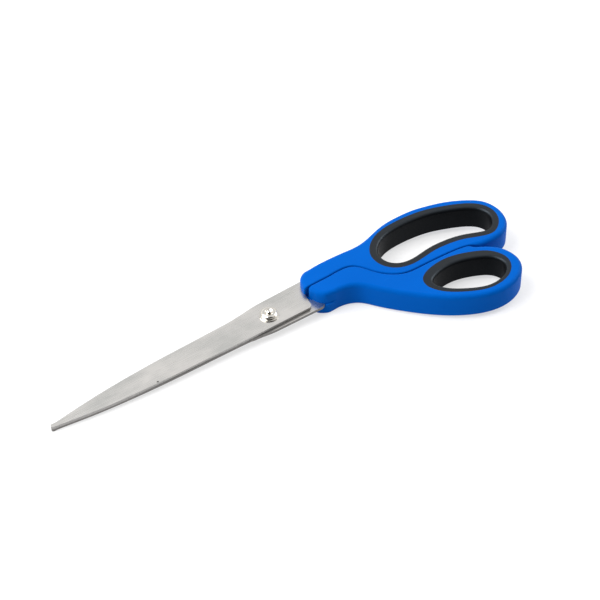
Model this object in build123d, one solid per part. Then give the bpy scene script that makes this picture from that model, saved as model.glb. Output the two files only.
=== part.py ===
from build123d import *
import os

# Office scissors, shut and lying on their side. The tip points towards -X, the finger loops towards +X
# and +Z is the hinge axis. Outlines are drawn with the hinge axis at (0, 0). save() then puts the middle
# of the whole pair's footprint on the origin, with the underside of the handles at Z = 0.

# ---- driving dimensions, mm ----
HANDLE_THICK = 13.0
SPLIT_Z = HANDLE_THICK / 2      # plane in which the two blades slide over each other
BLADE_THICK = 1.5
BLADE_GAP = 0.05                # between the two blades, and under the washer
HANDLE_TOP_R = 2.1              # rounding of the upper outer edges of the handles
HANDLE_BOTTOM_R = 0.9
SEAM_GAP = 0.5                  # between the shut handles
SEAM_EDGE_R = 0.7               # rounding of the edges along the seam
NOSE_STEP = 0.25                # the plastic stays this far back from the sliding plane

# Soft linings, measured in from the edge of the loop. Their openings sit off the middle by (x, y), so
# that the linings are thicker in front and, in the small loop, on the side towards the seam.
LARGE_GRIP_WIDTH = 4.0
LARGE_GRIP_SHIFT = (0.4, 0)
SMALL_GRIP_WIDTH = 3.9
SMALL_GRIP_SHIFT = (0.6, -1.2)
GRIP_TOP_R = 1.6                # rounding of the upper inside edge
GRIP_BOTTOM_R = 0.4

SHANK_R = 2.3
HOLE_CLEARANCE = 0.05           # the upper blade turns on the rivet shank
HEAD_R = 4.6                    # rivet head under the lower blade
HEAD_HEIGHT = 1.3
HEAD_RIM = 0.3                  # straight edge of the head, below its dome
WASHER_R = 4.9                  # flat rim of the domed washer
WASHER_RIM = 0.45
DOME_SHOULDER = (0.2, 0.87)     # steep part of the dome: how far in, and how high up
DOME_R = 4.05
DOME_HEIGHT = 1.9               # crest of the washer's dome
DISH_DEPTH = 0.35               # hollow round the end of the rivet
NUB_R = 1.6                     # peened end of the rivet
NUB_HEIGHT = 2.9

BEVEL_WIDTH = 0.8               # ground cutting edge, on the outer face of each blade
BEVEL_DEPTH = 0.4

BLADE_TOP = SPLIT_Z + BLADE_GAP / 2 + BLADE_THICK
WASHER_SEAT = BLADE_TOP + BLADE_GAP

BEYOND = 200.0                  # further out than any piece reaches
SAMPLES = 40                    # points taken along a line that another runs beside
LEVEL_TOLERANCE = 0.01

# Middle of the pair's footprint, measured from the hinge axis.
MIDDLE_X = 7.38
MIDDLE_Y = -20.6

# ---- outlines, (x, y) from the hinge axis ----
# Line on which the shut handles meet, from in front of them to the gap between the loops.
SEAM_Y = 0.55
SEAM = [(12, SEAM_Y), (21, SEAM_Y), (30, 0.6), (38, 0.75), (44.5, 0.9), (49.5, -0.5), (53.3, -4.8),
        (57, -11.2), (62, -16.6), (68, -19.8), (76, -20.6), (88, -20.9), (97, -21.5), (104, -22.7),
        (112, -27), (125, -37)]

# Nose of the large-loop handle, from the seam round to its outer side. The half that lies over its own
# blade reaches further forward than the half that stays clear of the other blade's heel.
NOSE_END = (33, 11.1)
NOSE_FRONT = [(21.6, 0.4), (21.8, 2.2), (22.7, 5.2), (24, 8), (27, 10.4), NOSE_END]
NOSE_BACK = [(23.4, 0.4), (23.5, 2.4), (23.9, 4.2), (24.5, 6.4), (26.2, 9), NOSE_END]
NOSE_BACK_TURN = 15.0           # degrees between the cut-back nose and the outer side where they meet

# Outer side of each handle, round its loop and back to where the loops part.
LARGE_SIDE = [NOSE_END, (45, 11.3), (52, 10.9), (59, 10.5), (66, 11.45), (74, 13.9), (82, 15.6),
              (90, 15.9), (98, 15.4), (106, 13.7), (114, 11.2), (121, 8), (127.2, 4.1), (131.9, -0.3),
              (134.6, -6.35), (134.9, -12.9), (133.1, -18.7), (130.1, -22.6), (125.1, -25.5),
              (118.2, -26.4), (112.5, -26), (108, -24.7)]
SMALL_SIDE = [(33, 2 * SEAM_Y - 11.1), (38.3, -10.5), (44.1, -13.2), (49.3, -19.5), (59.4, -32),
              (69.6, -42.4), (79.7, -50.1), (90, -55.2), (100, -57.1), (109, -55.6), (115.5, -51.7),
              (119.3, -45.7), (119.4, -38.5), (116.3, -32), (112.5, -28.4), (108, -25.4)]

# A handle blank turns off past the seam where the loops part, and runs beside the seam to the nose.
PAST_SEAM = (-3, -7)            # for the large-loop handle, the other way for the small-loop one
PARTING_R = 5.0
PARTING_TURN = 60.0

# Edge of the soft lining on the face of each handle.
LARGE_GRIP = [(60.7, -4), (62.1, 1.9), (66.4, 7.1), (73.4, 11), (83, 12.6), (94, 12.3), (104, 10.6),
              (114, 7), (123, 2.5), (129, -2.8), (131.4, -9), (130.3, -15.4), (126.8, -20),
              (121.3, -22.9), (115, -21.9), (106, -18.2), (97, -16.3), (88.5, -15.95), (80, -16.95),
              (73, -17), (67, -15), (62.3, -10.2)]
SMALL_GRIP = [(70.6, -32), (72.4, -27.9), (77.5, -25), (84.5, -23.6), (91.5, -23.8), (98.5, -25.6),
              (105, -28.4), (110.5, -32), (113.8, -36.7), (114.7, -41.8), (112.4, -47.2), (107.3, -51.2),
              (101, -52.9), (94, -52.6), (87, -49.9), (80, -45.7), (74, -40.4), (71.3, -36)]

# Upper blade: its cutting side and its back from the rounded point to the wide part round the rivet,
# then the rear edge of the wide part up into the handle. The tang is buried in the handle.
POINT = (-120.3, 0)
CUTTING_SIDE = [(-119.1, 1.1), (-114.5, 1.7), (-108, 2.65), (-96, 4.2), (-83, 5.4), (-70, 6.25),
                (-55, 6.85), (-38, 7.2), (-24, 7.5), (-14, 7.85)]
CUTTING_STEP = [CUTTING_SIDE[-1], (-8.9, 8.35), (-3.5, 9.1), (1.5, 9.3)]
WIDE_PART_Y = 9.8               # how far the wide part has spread where it enters the handle
BACK_SIDE = [(-119.1, -1.1), (-114.5, -1.75), (-108, -2.7), (-96, -4.3), (-83, -5.4), (-70, -6.1),
             (-55, -6.6), (-38, -6.95), (-22, -7.4), (-8, -7.6)]
BACK_Y = -7.7
HEEL = [(20.7, -5.4), (21.2, -2.5), (21.9, 0.5), (23.4, 3)]
HEEL_CORNER_R = 2.2
TANG_START_X = 25.0             # the tang narrows from here on, inside the handle
TANG_NECK_X = 29.0
TANG_Y = 8.0
TANG_END_X = 52.0


def prism(edges, low, high):
    """Upright block between two heights, with the closed outline that the edges make."""
    return Pos(0, 0, low) * extrude(make_face(edges), high - low)


def beside(curve, distance):
    """Points along a curve, moved to its left by a distance."""
    steps = [i / SAMPLES for i in range(SAMPLES + 1)]
    return [curve @ t + Vector(-(curve % t).Y, (curve % t).X) * distance for t in steps]


def flipped_y(points):
    """The points turned over about the seam line in front of the handles."""
    return [(x, 2 * SEAM_Y - y) for x, y in points]


def level_edges(solid, height):
    """All edges of a solid that lie flat at a height."""
    return [e for e in solid.edges() if abs(e.bounding_box().min.Z - height) < LEVEL_TOLERANCE
            and abs(e.bounding_box().max.Z - height) < LEVEL_TOLERANCE]


def seam_edges(solid, height):
    """The level edges of a handle that run along the seam."""
    seam = Spline(*SEAM)
    lift = Vector(0, 0, height)
    return [e for e in level_edges(solid, height) if seam.distance_to((e @ 0.5) - lift) < SEAM_GAP]


# ---- handles ----
def handle_layer(nose, side, past, low, high):
    """One layer of a handle, carried past the seam, so that its outer rounding ends inside the cut."""
    points, nose_turn = nose
    closing = [(x + past[0], y + past[1]) for x, y in SEAM[4:11:2]]
    start = (points[0][0], SEAM_Y + past[1])
    rise = 1 if past[1] < 0 else -1
    outer = Spline(*side)
    turn = JernArc(side[-1], outer % 1, PARTING_R, rise * PARTING_TURN)
    arrival = (outer % 0).rotate(Axis.Z, rise * nose_turn)
    edges = [Line(start, points[0]), Spline(*points, tangents=[(0, rise), arrival]), outer, turn,
             Polyline(turn @ 1, *reversed(closing), start)]
    return prism(edges, low, high)


def seam_half(sign):
    """Everything on one side of the seam, with half the seam's gap: +1 is the large-loop side."""
    edge = Spline(*beside(Spline(*SEAM), sign * SEAM_GAP / 2))
    first, last = edge @ 0, edge @ 1
    far = BEYOND * sign
    rim = Polyline((last.X, last.Y), (BEYOND, last.Y), (BEYOND, far), (first.X, far), (first.X, first.Y))
    return prism([edge, rim], -1, HANDLE_THICK + 1)


def handle(noses, side, past, sign, step_z, grip):
    """A moulded handle: two layers with different noses, the seam, the loop's opening and the roundings."""
    low_nose, high_nose = noses
    body = (handle_layer(low_nose, side, past, 0, step_z)
            + handle_layer(high_nose, side, past, step_z, HANDLE_THICK))
    for height, radius in ((0, HANDLE_BOTTOM_R), (HANDLE_THICK, HANDLE_TOP_R)):
        body = fillet(level_edges(body, height), radius)
    body = body & seam_half(sign)
    body = fillet(seam_edges(body, 0) + seam_edges(body, HANDLE_THICK), SEAM_EDGE_R)
    return body - prism([Spline(*grip, periodic=True)], -1, HANDLE_THICK + 1)


def large_handle():
    noses = ((NOSE_BACK, NOSE_BACK_TURN), (NOSE_FRONT, 0))
    return handle(noses, LARGE_SIDE, PAST_SEAM, 1, SPLIT_Z + NOSE_STEP, LARGE_GRIP)


def small_handle():
    noses = ((flipped_y(NOSE_FRONT), 0), (flipped_y(NOSE_BACK), NOSE_BACK_TURN))
    past = (-PAST_SEAM[0], -PAST_SEAM[1])
    return handle(noses, SMALL_SIDE, past, -1, SPLIT_Z - NOSE_STEP, SMALL_GRIP)


def grip_insert(points, width, shift):
    """Soft lining of a loop: a ring with its inside edges rounded, the upper one more."""
    outer = Spline(*points, periodic=True)
    inner = Spline(*[point + Vector(*shift) for point in beside(outer, -width)[:-1]], periodic=True)
    ring = prism([outer], 0, HANDLE_THICK) - prism([inner], -1, HANDLE_THICK + 1)
    for height, radius in ((HANDLE_THICK, GRIP_TOP_R), (0, GRIP_BOTTOM_R)):
        inside = min(level_edges(ring, height), key=lambda e: e.length)
        ring = fillet(inside, radius)
    return ring


# ---- blades ----
def blade_plate():
    """Upper blade without its rivet hole, its flat inner face on the sliding plane."""
    corner = (HEEL[0][0], BACK_Y)
    cutting = Spline(*CUTTING_SIDE)
    edges = [ThreePointArc(BACK_SIDE[0], POINT, CUTTING_SIDE[0]),
             cutting, Spline(*CUTTING_STEP, tangents=[cutting % 1, (1, 0.03)]),
             Polyline(CUTTING_STEP[-1], (TANG_START_X, WIDE_PART_Y), (TANG_NECK_X, TANG_Y),
                      (TANG_END_X, TANG_Y), (TANG_END_X, HEEL[-1][1]), HEEL[-1]),
             Spline(*reversed(HEEL), tangents=[(-0.5, -1), (0, -1)]),
             Polyline(HEEL[0], corner, BACK_SIDE[-1]),
             Spline(*reversed(BACK_SIDE))]
    plate = prism(edges, BLADE_TOP - BLADE_THICK, BLADE_TOP)
    upright = [e for e in plate.edges().filter_by(Axis.Z)
               if abs(e.center().X - corner[0]) < 0.1 and abs(e.center().Y - corner[1]) < 0.1]
    return fillet(upright, HEEL_CORNER_R) - bevel_cutter()


def bevel_cutter():
    """What the grinder takes off the cutting side, running out at the point and before the wide part."""
    inward = [(x, y - BEVEL_WIDTH) for x, y in CUTTING_SIDE[1:-1]]
    inward = [CUTTING_SIDE[0], *inward, CUTTING_SIDE[-1]]
    faces = []
    for height, line in ((BLADE_TOP - BEVEL_DEPTH, CUTTING_SIDE), (BLADE_TOP, inward)):
        rim = Polyline(line[-1], (line[-1][0], BEYOND), (line[0][0], BEYOND), line[0])
        faces.append(Pos(0, 0, height) * make_face([Spline(*line), rim]))
    return loft(faces, ruled=True)


def upper_blade():
    return blade_plate() - Pos(0, 0, SPLIT_Z) * Cylinder(SHANK_R + HOLE_CLEARANCE, HANDLE_THICK)


def lower_blade():
    plate = Pos(0, 0, SPLIT_Z) * Rot(180, 0, 0) * Pos(0, 0, -SPLIT_Z) * blade_plate()
    return plate - Pos(0, 0, SPLIT_Z) * Cylinder(SHANK_R, HANDLE_THICK)


# ---- rivet ----
def cap(radius, height):
    """Low dome standing on Z = 0."""
    ball = (radius ** 2 + height ** 2) / (2 * height)
    above = Pos(0, 0, height) * Box(3 * radius, 3 * radius, 2 * height)
    return (Pos(0, 0, height - ball) * Sphere(ball)) & above


def disc(radius, low, high):
    """Round block about the hinge axis."""
    return Pos(0, 0, (low + high) / 2) * Cylinder(radius, high - low)


def rivet():
    """Domed head under the lower blade, shank through both blades, neck and peened end in the washer."""
    under = SPLIT_Z - BLADE_GAP / 2 - BLADE_THICK
    shoulder = under - HEAD_RIM
    crest = WASHER_SEAT + DOME_HEIGHT - DISH_DEPTH
    head = Pos(0, 0, shoulder) * Rot(180, 0, 0) * cap(HEAD_R, HEAD_HEIGHT - HEAD_RIM)
    peened = Pos(0, 0, crest) * cap(NUB_R, WASHER_SEAT + NUB_HEIGHT - crest)
    return (head + disc(HEAD_R, shoulder, under) + disc(SHANK_R, under, WASHER_SEAT)
            + disc(NUB_R, WASHER_SEAT, crest) + peened)


def washer():
    """Stamped washer under the peened end: flat rim, raised dome and a shallow dish round the rivet."""
    seat = WASHER_SEAT
    rim, crest = seat + WASHER_RIM, seat + DOME_HEIGHT
    dish = crest - DISH_DEPTH
    crest_r = (NUB_R + DOME_R) / 2
    profile = [Polyline((NUB_R, dish), (NUB_R, seat), (WASHER_R, seat), (WASHER_R, rim), (DOME_R, rim)),
               Spline((DOME_R, rim), (DOME_R - DOME_SHOULDER[0], rim + DOME_SHOULDER[1]), (crest_r, crest),
                      (NUB_R, dish), tangents=[(0, 1), (-1, -0.6)])]
    return turned(profile)


def turned(profile):
    """Round piece about the hinge axis from its (radius, height) half section."""
    return revolve(Plane.XZ * make_face(profile), Axis.Z)


def save(name, shape):
    """Write one piece, moved so that the middle of the pair's footprint is on the origin."""
    placed = Pos(-MIDDLE_X, -MIDDLE_Y, 0) * shape
    export_step(placed, f"parts/{name}.step")
    return placed


def main():
    os.makedirs("parts", exist_ok=True)
    blades = {"upper_blade": upper_blade(), "lower_blade": lower_blade()}
    pieces = {"large_loop_handle": large_handle() - blades["upper_blade"],
              "small_loop_handle": small_handle() - blades["lower_blade"],
              "large_loop_grip": grip_insert(LARGE_GRIP, LARGE_GRIP_WIDTH, LARGE_GRIP_SHIFT),
              "small_loop_grip": grip_insert(SMALL_GRIP, SMALL_GRIP_WIDTH, SMALL_GRIP_SHIFT),
              "rivet": rivet(), "rivet_washer": washer()}
    pieces.update(blades)
    placed = [save(name, shape) for name, shape in pieces.items()]
    box = Compound(children=placed).bounding_box()
    print("footprint", box.min, box.max)


main()
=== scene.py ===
import math

import bpy
from mathutils import Matrix, Vector

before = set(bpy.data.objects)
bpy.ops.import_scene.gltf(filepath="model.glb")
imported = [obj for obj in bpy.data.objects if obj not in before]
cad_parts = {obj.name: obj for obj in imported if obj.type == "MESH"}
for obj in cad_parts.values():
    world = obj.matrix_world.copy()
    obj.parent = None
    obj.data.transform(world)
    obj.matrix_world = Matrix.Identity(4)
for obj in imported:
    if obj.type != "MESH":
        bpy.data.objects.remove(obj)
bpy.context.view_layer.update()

# Office scissors, shut, lying on a pale floor. Everything is in metres and in the frame of the CAD model:
# the tip points towards -X, the finger loops towards +X, and +Z is the hinge axis.
MM = 0.001

# The pair rests on the tip of its lower blade and the front of its handles, so the floor slopes against
# the frame: up towards the tip, by this angle, from the line where the handles touch it.
FLOOR_SLOPE = math.radians(1.92)
FLOOR_TOUCH = Vector((20.6 * MM, 0, -0.02 * MM))
FLOOR_SIZE = 3.0
FLOOR_GLOW = 0.6                                # keeps the shadows on the floor as pale as in a light tent

PIT_AT = Vector((-73.8, 15.1, 8.02)) * MM       # small dark pit in the face of the upper blade
LOWER_BLADE_TOP = 6.3 * MM                      # heights between which the walls change from the darker painted shade of the lower blade's walls to the paler painted shade of the upper's
UPPER_BLADE_BOTTOM = 6.7 * MM                   # ones of the lower blade to those of the upper

CAMERA_AT = Vector((-0.3029, -0.4555, 0.5780))
CAMERA_AIM = Vector((0.0113, 0.0212, 0.0065))
CAMERA_LENS = 99.0                              # mm, on a sensor of this width
CAMERA_SENSOR = 36.0
CAMERA_ROLL = math.radians(1.84)
CAMERA_UP = Vector((math.sin(CAMERA_ROLL), 0, math.cos(CAMERA_ROLL)))

# Softboxes: where they hang, how wide they are and their power in watts.
KEY_AT, KEY_SIZE, KEY_POWER = (-0.80, 0.38, 1.05), 1.4, 32.0
FILL_AT, FILL_SIZE, FILL_POWER = (1.10, -0.15, 0.60), 0.7, 7.0

# Light from the room, by the cosine between a direction and an axis: it goes from the third value to the
# fourth while the cosine goes from the first to the second.
ROOM_LIGHT = (-0.4, 0.8, 0.15, 1.1)             # axis: half up, half away from the camera
ROOM_SHADE = (0.6, 0.92, 1.0, 0.04)             # axis: towards the camera


# ---- nodes ----
class Finish:
    """A material under construction: its nodes, and short ways to add the usual ones."""

    def __init__(self, name, **constants):
        self.material = bpy.data.materials.new(name)
        self.material.use_nodes = True
        self.tree = self.material.node_tree
        self.shader = self.tree.nodes["Principled BSDF"]
        for socket, value in constants.items():
            self.shader.inputs[socket.replace("_", " ")].default_value = value
        self.place = self.tree.nodes.new("ShaderNodeTexCoord").outputs["Object"]

    def node(self, kind, inputs=(), **settings):
        made = self.tree.nodes.new(kind)
        for key, value in settings.items():
            setattr(made, key, value)
        for key, value in dict(inputs).items():
            if isinstance(value, bpy.types.NodeSocket):
                self.tree.links.new(value, made.inputs[key])
            else:
                made.inputs[key].default_value = value
        return made

    def link(self, source, socket):
        self.tree.links.new(source, self.shader.inputs[socket])

    def noise(self, size, stretch=(1, 1, 1), detail=3.0, roughness=0.55, shift=0.0):
        """Noise whose grain is about size metres, longer along an axis where stretch is above 1."""
        scale = [1 / (size * s) for s in stretch]
        where = self.node("ShaderNodeMapping", {"Vector": self.place, "Scale": scale,
                                                "Location": (shift, shift, shift)})
        made = self.node("ShaderNodeTexNoise", {"Vector": where.outputs["Vector"], "Scale": 1.0,
                                                "Detail": detail, "Roughness": roughness})
        return made.outputs["Fac"]

    def ramp(self, value, *stops):
        """Colours at positions from 0 to 1; a single number stands for a grey."""
        made = self.node("ShaderNodeValToRGB", {"Fac": value})
        marks = made.color_ramp.elements
        while len(marks) < len(stops):
            marks.new(0.5)
        for mark, (position, colour) in zip(marks, stops):
            mark.position = position
            mark.color = (colour,) * 3 + (1,) if isinstance(colour, (int, float)) else (*colour, 1)
        return made.outputs["Color"]

    def span(self, value, low, high, out_low, out_high):
        """value, spread from low..high to out_low..out_high and held there."""
        made = self.node("ShaderNodeMapRange", {"Value": value, "From Min": low, "From Max": high,
                                                "To Min": out_low, "To Max": out_high})
        return made.outputs["Result"]

    def math(self, operation, a, b=0.0):
        return self.node("ShaderNodeMath", {0: a, 1: b}, operation=operation).outputs[0]

    def mix(self, share, a, b, blend="MIX"):
        """Colour a, going over to colour b with share."""
        made = self.node("ShaderNodeMix", data_type="RGBA", blend_type=blend)
        for socket, value in ((0, share), (6, a), (7, b)):
            if isinstance(value, bpy.types.NodeSocket):
                self.tree.links.new(value, made.inputs[socket])
            else:
                made.inputs[socket].default_value = value if socket == 0 else (*value, 1)
        return made.outputs[2]

    def bump(self, height, distance, strength=1.0, under=None):
        inputs = {"Height": height, "Distance": distance, "Strength": strength}
        if under is not None:
            inputs["Normal"] = under
        return self.node("ShaderNodeBump", inputs).outputs["Normal"]

    def height(self):
        """Height in the pair's own frame."""
        return self.node("ShaderNodeSeparateXYZ", {"Vector": self.place}).outputs["Z"]

    def distance(self, point):
        """How far a place is from a point in the pair's own frame."""
        apart = self.node("ShaderNodeVectorMath", {0: self.place, 1: point}, operation="DISTANCE")
        return apart.outputs["Value"]

    def steepness(self):
        """0 on the level faces of the pair, 1 on its upright walls."""
        normal = self.node("ShaderNodeNewGeometry").outputs["Normal"]
        parts = self.node("ShaderNodeSeparateXYZ", {"Vector": normal})
        level = self.math("ABSOLUTE", parts.outputs["Z"])
        return self.math("SUBTRACT", 1.0, level)


# ---- materials ----
def blue_plastic():
    """Satin moulded plastic: spark-textured surface, faint flow clouds, a few hairline scuffs, and painted
    light: a brighter blue on its upright walls.
    """
    f = Finish("blue_plastic", IOR=1.5, Specular_Tint=(0.1, 0.45, 1, 1))
    clouds = f.noise(22 * MM, stretch=(2.2, 1, 1), detail=2)
    grain = f.noise(0.35 * MM, detail=4, roughness=0.65)
    scuffs = f.noise(0.9 * MM, stretch=(14, 1, 1), detail=2, shift=3.7)
    scuff = f.span(scuffs, 0.68, 0.76, 0, 1)
    blue = f.ramp(clouds, (0.3, (0.0002, 0.074, 0.352)), (0.7, (0.0003, 0.082, 0.388)))
    blue = f.mix(f.span(grain, 0.35, 0.7, 0, 0.10), blue, (0.0, 0.06, 0.33))
    blue = f.mix(f.math("MULTIPLY", scuff, 0.10), blue, (0.03, 0.20, 0.60))
    wall = f.steepness()
    # Painted light: the upright walls get a brighter blue than the top faces.
    blue = f.mix(f.span(wall, 0.5, 0.95, 0, 0.8), blue, (0.0003, 0.089, 0.42))
    f.link(blue, "Base Color")
    satin = f.math("ADD", f.span(grain, 0.3, 0.7, 0.36, 0.50), f.math("MULTIPLY", scuff, 0.08))
    f.link(satin, "Roughness")
    f.link(f.span(wall, 0.4, 0.9, 0.04, 0.02), "Specular IOR Level")
    f.link(f.bump(grain, 0.02 * MM, 0.35), "Normal")
    return f.material


def black_rubber():
    """Soft lining: dull black, with a pebbled skin and paler dusty patches."""
    f = Finish("black_rubber", IOR=1.5, Specular_Tint=(0.7, 0.85, 1, 1))
    patches = f.noise(9 * MM, detail=3)
    pebbles = f.noise(0.45 * MM, detail=3, roughness=0.6)
    black = f.ramp(patches, (0.3, (0.002, 0.0022, 0.003)), (0.75, (0.004, 0.0045, 0.0055)))
    black = f.mix(f.span(pebbles, 0.55, 0.8, 0, 0.35), black, (0.012, 0.013, 0.016))
    f.link(black, "Base Color")
    f.link(f.span(pebbles, 0.3, 0.7, 0.36, 0.50), "Roughness")
    f.link(f.span(f.steepness(), 0.25, 0.9, 0.34, 0.06), "Specular IOR Level")
    f.link(f.bump(pebbles, 0.05 * MM, 0.5), "Normal")
    return f.material


def blade_steel():
    """Stamped stainless sheet: mill-brushed along its length, clouded, with a pit and dull torn walls; the
    walls are painted darker as painted shade, darkest on the lower blade.
    """
    f = Finish("blade_steel", Metallic=1.0)
    wall = f.span(f.steepness(), 0.72, 0.9, 0, 1)
    ground = f.math("SUBTRACT", f.span(f.steepness(), 0.1, 0.3, 0, 1), wall)
    clouds = f.noise(11 * MM, stretch=(1.6, 1, 1), detail=3)
    brushing = f.noise(0.22 * MM, stretch=(60, 1, 1), detail=3, roughness=0.7)
    streaks = f.noise(1.3 * MM, stretch=(25, 1, 1), detail=2)
    torn = f.noise(0.18 * MM, stretch=(1, 1, 6), detail=3, shift=5.1)
    steel = f.ramp(clouds, (0.32, (0.480, 0.478, 0.462)), (0.5, (0.540, 0.530, 0.512)),
                   (0.7, (0.605, 0.588, 0.566)))
    steel = f.mix(1.0, steel, f.ramp(brushing, (0.3, 0.97), (0.7, 1.0)), "MULTIPLY")
    steel = f.mix(1.0, steel, f.ramp(streaks, (0.35, 0.97), (0.65, 1.0)), "MULTIPLY")
    steel = f.mix(f.math("MULTIPLY", ground, 0.35), steel, (0.36, 0.355, 0.345))
    steel = f.mix(f.span(f.distance(PIT_AT), 0.35 * MM, 0.6 * MM, 0.9, 0), steel, (0.02, 0.019, 0.018))
    # Painted shade: the walls get darker colours than the faces, the lower blade's walls darker ones than
    # the upper's; the torn streaks are the walls' own texture.
    upper = f.span(f.height(), LOWER_BLADE_TOP, UPPER_BLADE_BOTTOM, 0, 1)
    lower_wall_painted_shade = f.ramp(torn, (0.3, (0.13, 0.125, 0.12)), (0.7, (0.24, 0.232, 0.22)))
    upper_wall_painted_shade = f.ramp(torn, (0.3, (0.25, 0.245, 0.24)), (0.7, (0.42, 0.41, 0.40)))
    f.link(f.mix(wall, steel, f.mix(upper, lower_wall_painted_shade, upper_wall_painted_shade)), "Base Color")
    sheen = f.math("ADD", f.span(brushing, 0.3, 0.7, 0.21, 0.29), f.span(clouds, 0.3, 0.7, 0, 0.05))
    f.link(f.math("ADD", sheen, f.math("MULTIPLY", wall, 0.22)), "Roughness")
    skin = f.bump(brushing, 0.002 * MM, 0.4)
    f.link(f.bump(f.math("MULTIPLY", torn, wall), 0.03 * MM, 0.5, skin), "Normal")
    return f.material


def bright_nickel():
    """Plated rivet and washer: nearly a mirror, a little warm, with tumbling marks; painted light and shade
    make its slopes brighter than its level faces.
    """
    f = Finish("bright_nickel", Metallic=1.0)
    marks = f.noise(0.25 * MM, detail=4, roughness=0.7)
    haze = f.noise(2.2 * MM, detail=2)
    plated = f.ramp(haze, (0.3, (0.70, 0.655, 0.585)), (0.7, (0.80, 0.76, 0.69)))
    # Painted light and shade: the level faces get a darker grey than the sloped dome and rim.
    level = f.span(f.steepness(), 0.02, 0.12, 0.8, 0)
    f.link(f.mix(level, plated, (0.50, 0.49, 0.47)), "Base Color")
    f.link(f.math("ADD", f.span(marks, 0.3, 0.7, 0.10, 0.17), f.span(haze, 0.4, 0.7, 0, 0.05)), "Roughness")
    f.link(f.bump(marks, 0.006 * MM, 0.3), "Normal")
    return f.material


def dress():
    """Give every CAD node its finish."""
    blue, black, steel, nickel = blue_plastic(), black_rubber(), blade_steel(), bright_nickel()
    wears = {"large_loop_handle": blue, "small_loop_handle": blue, "large_loop_grip": black,
             "small_loop_grip": black, "upper_blade": steel, "lower_blade": steel,
             "rivet": nickel, "rivet_washer": nickel}
    for name, finish in wears.items():
        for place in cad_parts[name].material_slots:
            place.material = finish


# ---- floor, light and camera ----
def paper():
    """White sheet with a faint fibre, glowing a little."""
    f = Finish("paper", Roughness=0.9, Specular_IOR_Level=0.0, Emission_Color=(1, 1, 1, 1),
               Emission_Strength=FLOOR_GLOW)
    fibre = f.noise(1.5 * MM, detail=3)
    f.link(f.ramp(fibre, (0.3, (0.36, 0.36, 0.365)), (0.7, (0.38, 0.38, 0.385))), "Base Color")
    return f.material


def floor():
    """The sloping sheet under the pair."""
    up = Vector((math.sin(FLOOR_SLOPE), 0, math.cos(FLOOR_SLOPE)))
    across = Vector((0, 1, 0))
    along = across.cross(up)
    half = FLOOR_SIZE / 2
    mesh = bpy.data.meshes.new("floor")
    corners = ((-1, -1), (1, -1), (1, 1), (-1, 1))
    mesh.from_pydata([FLOOR_TOUCH + half * (x * along + y * across) for x, y in corners], [], [(0, 1, 2, 3)])
    mesh.materials.append(paper())
    made = bpy.data.objects.new("floor", mesh)
    bpy.context.scene.collection.objects.link(made)


def light_by_direction(tree, axis, levels):
    """World light that changes smoothly with the angle between a direction and an axis."""
    place = tree.nodes.new("ShaderNodeTexCoord")
    facing = tree.nodes.new("ShaderNodeVectorMath")
    facing.operation = "DOT_PRODUCT"
    facing.inputs[1].default_value = axis
    tree.links.new(place.outputs["Generated"], facing.inputs[0])
    light = tree.nodes.new("ShaderNodeMapRange")
    light.interpolation_type = "SMOOTHSTEP"
    for key, value in zip(("From Min", "From Max", "To Min", "To Max"), levels):
        light.inputs[key].default_value = value
    tree.links.new(facing.outputs["Value"], light.inputs["Value"])
    return light.outputs["Result"]


def room():
    """Soft studio surroundings: bright behind the pair, dim on the near side, dark round the camera."""
    world = bpy.data.worlds.new("room")
    bpy.context.scene.world = world
    world.use_nodes = True
    tree = world.node_tree
    behind = (CAMERA_AIM - CAMERA_AT).normalized()
    bright = Vector((behind.x, behind.y, 0)).normalized() * 0.7 + Vector((0, 0, 0.71))
    strength = tree.nodes.new("ShaderNodeMath")
    strength.operation = "MULTIPLY"
    tree.links.new(light_by_direction(tree, bright, ROOM_LIGHT), strength.inputs[0])
    tree.links.new(light_by_direction(tree, -behind, ROOM_SHADE), strength.inputs[1])
    background = tree.nodes["Background"]
    background.inputs["Color"].default_value = (1, 1, 1, 1)
    tree.links.new(strength.outputs["Value"], background.inputs["Strength"])


def softbox(name, at, size, power):
    """Round lamp that faces the point the camera is aimed at."""
    lamp = bpy.data.lights.new(name, "AREA")
    lamp.shape, lamp.size, lamp.energy = "DISK", size, power
    made = bpy.data.objects.new(name, lamp)
    bpy.context.scene.collection.objects.link(made)
    made.location = at
    made.rotation_euler = (CAMERA_AIM - Vector(at)).to_track_quat("-Z", "Y").to_euler()


def camera():
    """The camera that the picture is taken with."""
    data = bpy.data.cameras.new("camera")
    data.lens, data.sensor_width = CAMERA_LENS, CAMERA_SENSOR
    data.clip_start, data.clip_end = 0.05, 20.0
    made = bpy.data.objects.new("camera", data)
    bpy.context.scene.collection.objects.link(made)
    forward = (CAMERA_AIM - CAMERA_AT).normalized()
    right = forward.cross(CAMERA_UP).normalized()
    up = right.cross(forward)
    turn = Matrix((right, up, -forward)).transposed().to_4x4()
    made.matrix_world = Matrix.Translation(CAMERA_AT) @ turn
    bpy.context.scene.camera = made


dress()
floor()
room()
softbox("key", KEY_AT, KEY_SIZE, KEY_POWER)
softbox("fill", FILL_AT, FILL_SIZE, FILL_POWER)
camera()
bpy.context.scene.view_settings.view_transform = "Standard"
